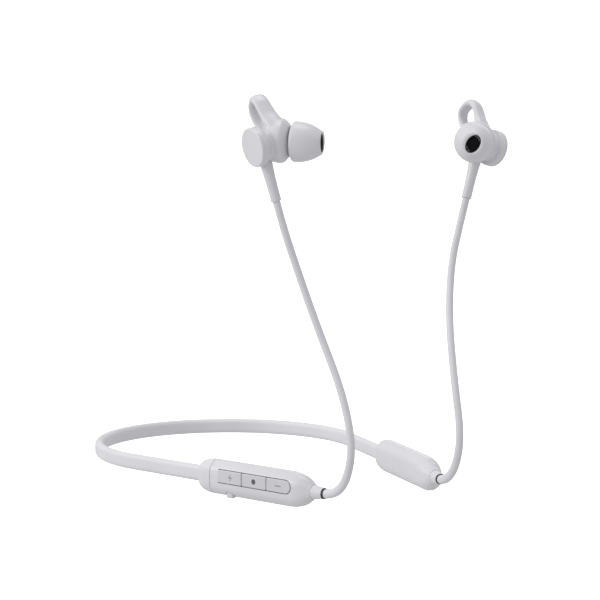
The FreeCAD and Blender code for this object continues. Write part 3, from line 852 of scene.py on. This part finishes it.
def bud_ball(side):
    rows = [(-6.84, 0.4)]
    rows += arc_rows((-6.84, 0.4), (-4.85, 4.85), (0.2, 6.85), 16)
    rows += [(0.85, 6.72), (1.5, 6.2), (2.05, 5.5), (2.6, 4.85), (2.95, 4.3), (3.05, 3.6), (3.05, 0.5)]
    return make_mesh("bud_ball", *skin(turned(rows, BALL, NOZZLE_AXIS, side, 72)))


def bud_neck(side):
    """The skew neck from the ball to the flat back."""
    low, high = BALL + BACK_NORMAL * 1.0, BACK_CENTRE - BACK_NORMAL * (BACK_THICK - 0.6)
    across, up = axes_about(BACK_NORMAL)
    rings = []
    for share, radius in ((0, 5.2), (0.35, 5.0), (0.6, 4.75), (0.85, 4.85), (1, 5.3)):
        middle = low.lerp(high, share)
        rings.append([
            flipped(middle + (across * math.cos(a) + up * math.sin(a)) * radius, side)
            for a in (2 * math.pi * k / 64 for k in range(64))
        ])
    return make_mesh("bud_neck", *skin(rings))


def make_wing(side):
    """The silicone sleeve over the ball with its looped wing: joined, remeshed and smoothed."""
    name, body = SIDE_NAMES[side], BUD_BODY[side]
    piece = bud_ball(side)
    piece.name = piece.data.name = name + "_wing_sleeve"
    combine(piece, [wing_loop(side), bud_neck(side)], "UNION")
    remesh = piece.modifiers.new("remesh", "REMESH")
    remesh.mode = "VOXEL"
    remesh.voxel_size = WING_VOXEL * MM
    smooth = piece.modifiers.new("smooth", "SMOOTH")
    smooth.factor = WING_SMOOTHING
    smooth.iterations = WING_SMOOTHINGS
    apply_modifiers(piece, 180)
    piece.data.materials.clear()
    piece.data.materials.append(MATERIALS["wing_silicone"])
    settle(piece, body, [name + "_ear_wing"])


def oval_radius(angle):
    """The radius of the tip's oval mouth at an angle about the nozzle's axis."""
    a, b = TIP_OVAL
    t = angle - (math.pi / 2 + TIP_OVAL_TURN)
    return a * b / math.hypot(b * math.cos(t), a * math.sin(t))


def make_tip(side):
    """The ear tip: a bore with an oval mouth, and a thin skirt folded back over it."""
    name = SIDE_NAMES[side]
    rows = [(5.0, 2.8), (8.0, 2.8), (10.9, 2.8), (11.0, 0.0), (11.8, 0.0), (12.35, 0.0)]
    ovals = {3: 0.0, 4: 0.0, 5: 0.02}
    lip = [(12.6, 0.08), (12.74, 0.2), (12.8, 0.36)]
    for along, grow in lip:
        ovals[len(rows)] = grow
        rows.append((along, 0.0))
    outside = [(12.72, 3.55), (12.45, 3.78), (12.0, 4.02)]
    outside += arc_rows((12.0, 4.02), (8.4, 5.72), (4.5, TIP_RADIUS), 22)
    inside = [(4.2, 6.18), (4.0, 6.1), (3.82, 5.9), (3.55, 5.4), (3.38, 5.15), (3.42, 5.0), (3.7, 5.0)]
    inside += arc_rows((3.7, 5.15), (8.0, 4.9), (10.8, 3.75), 10) + [(10.6, 3.5), (8.0, 3.5), (5.0, 3.5)]
    rows += outside + inside

    def wave(angle, row, radius):
        if row in ovals:
            return oval_radius(angle) + ovals[row]
        return radius

    rings = turned(rows, BALL, NOZZLE_AXIS, side, 96, wave)
    solid(name + "_tip_skin", rings, "tip_silicone", name + "_tip",
          [name + "_ear_tip"], loop=True, sharp=50)


def make_mouth_frame(side):
    """Painted shade: a dark grey oval lining just inside the tip's mouth, over the mouth's wall where it lies
    in shade.
    """
    name = SIDE_NAMES[side]
    rows = [(11.8, 0.05), (12.48, 0.05), (12.56, -0.02), (12.5, -0.1), (12.2, -0.12), (11.8, -0.12)]

    def wave(angle, _row, radius):
        return oval_radius(angle) + radius

    rings = turned(rows, BALL, NOZZLE_AXIS, side, 96, wave)
    piece = solid(name + "_mouth_shade_lining", rings, "mesh_black", name + "_tip", loop=True)
    piece.data.materials.clear()
    piece.data.materials.append(MOUTH_SHADE_GREY)


# Floor and light

FLOOR = -400.0
FLOOR_EDGE, FLOOR_BEND = 1400, 900
LIGHT_TARGET = (0.0, -0.09, 0.05)
LIGHTS = [
    # name, place and size in metres, power in watts
    ("key_light", (-1.15, 0.05, 0.45), 0.55, 4.0),
    ("back_light", (-0.9, 0.55, 0.5), 0.55, 2.0),
    ("top_light", (0.05, -0.1, 1.15), 0.55, 2.9),
    ("rim_light", (0.75, 0.6, 0.5), 0.6, 0.9),
]
WORLD_STRENGTH = 0.61


def make_floor():
    """A pale floor whose edge turns up all round, well below the object."""
    nodes = Nodes("floor")
    nodes.colour(nodes.tint(nodes.noise(3), (0.93, 0.93, 0.93), (0.95, 0.95, 0.95)))
    nodes.set(Roughness=0.9, Specular_IOR_Level=0.0, Emission_Color=(1, 1, 1, 1), Emission_Strength=0.9)
    rows = [(FLOOR, 10.0), (FLOOR, 600.0), (FLOOR, FLOOR_EDGE)]
    rows += [(FLOOR + FLOOR_BEND * (1 - math.cos(math.radians(a))),
              FLOOR_EDGE + FLOOR_BEND * math.sin(math.radians(a)))
             for a in range(10, 91, 10)]
    rows += [(1600.0, 2300.0)]
    count = 96
    points = [Vector((r * math.cos(2 * math.pi * k / count), r * math.sin(2 * math.pi * k / count) - 80, z))
              for z, r in rows for k in range(count)]
    faces = [tuple(range(count))]
    for row in range(len(rows) - 1):
        for k in range(count):
            j = (k + 1) % count
            faces.append((row * count + k, row * count + j, (row + 1) * count + j, (row + 1) * count + k))
    floor = make_mesh("floor", points, faces, 180)
    floor.data.materials.append(nodes.material)
    floor.visible_diffuse = False
    floor.visible_glossy = False


def area_light(name, place, size, power):
    data = bpy.data.lights.new(name, "AREA")
    data.shape = "DISK"
    data.size = size
    data.energy = power
    light = bpy.data.objects.new(name, data)
    bpy.context.scene.collection.objects.link(light)
    light.location = place
    light.rotation_mode = "QUATERNION"
    light.rotation_quaternion = (Vector(LIGHT_TARGET) - Vector(place)).to_track_quat("-Z", "Y")


def make_light():
    scene = bpy.context.scene
    scene.view_settings.view_transform = "Standard"
    scene.view_settings.look = "None"
    world = bpy.data.worlds.new("studio")
    world.use_nodes = True
    background = world.node_tree.nodes["Background"]
    background.inputs["Color"].default_value = (0.99, 0.99, 1.0, 1)
    background.inputs["Strength"].default_value = WORLD_STRENGTH
    scene.world = world
    for light in LIGHTS:
        area_light(*light)


for each_side in (LEFT, RIGHT):
    make_cable(each_side)
make_band()
make_battery_pod()
make_plug_boot()
make_control_pod()
make_keys()
make_power_key()
for each_side in (LEFT, RIGHT):
    make_gland(each_side)
    make_stem(each_side)
    make_back(each_side)
    make_wing(each_side)
    make_tip(each_side)
    make_mouth_frame(each_side)
make_floor()
make_light()
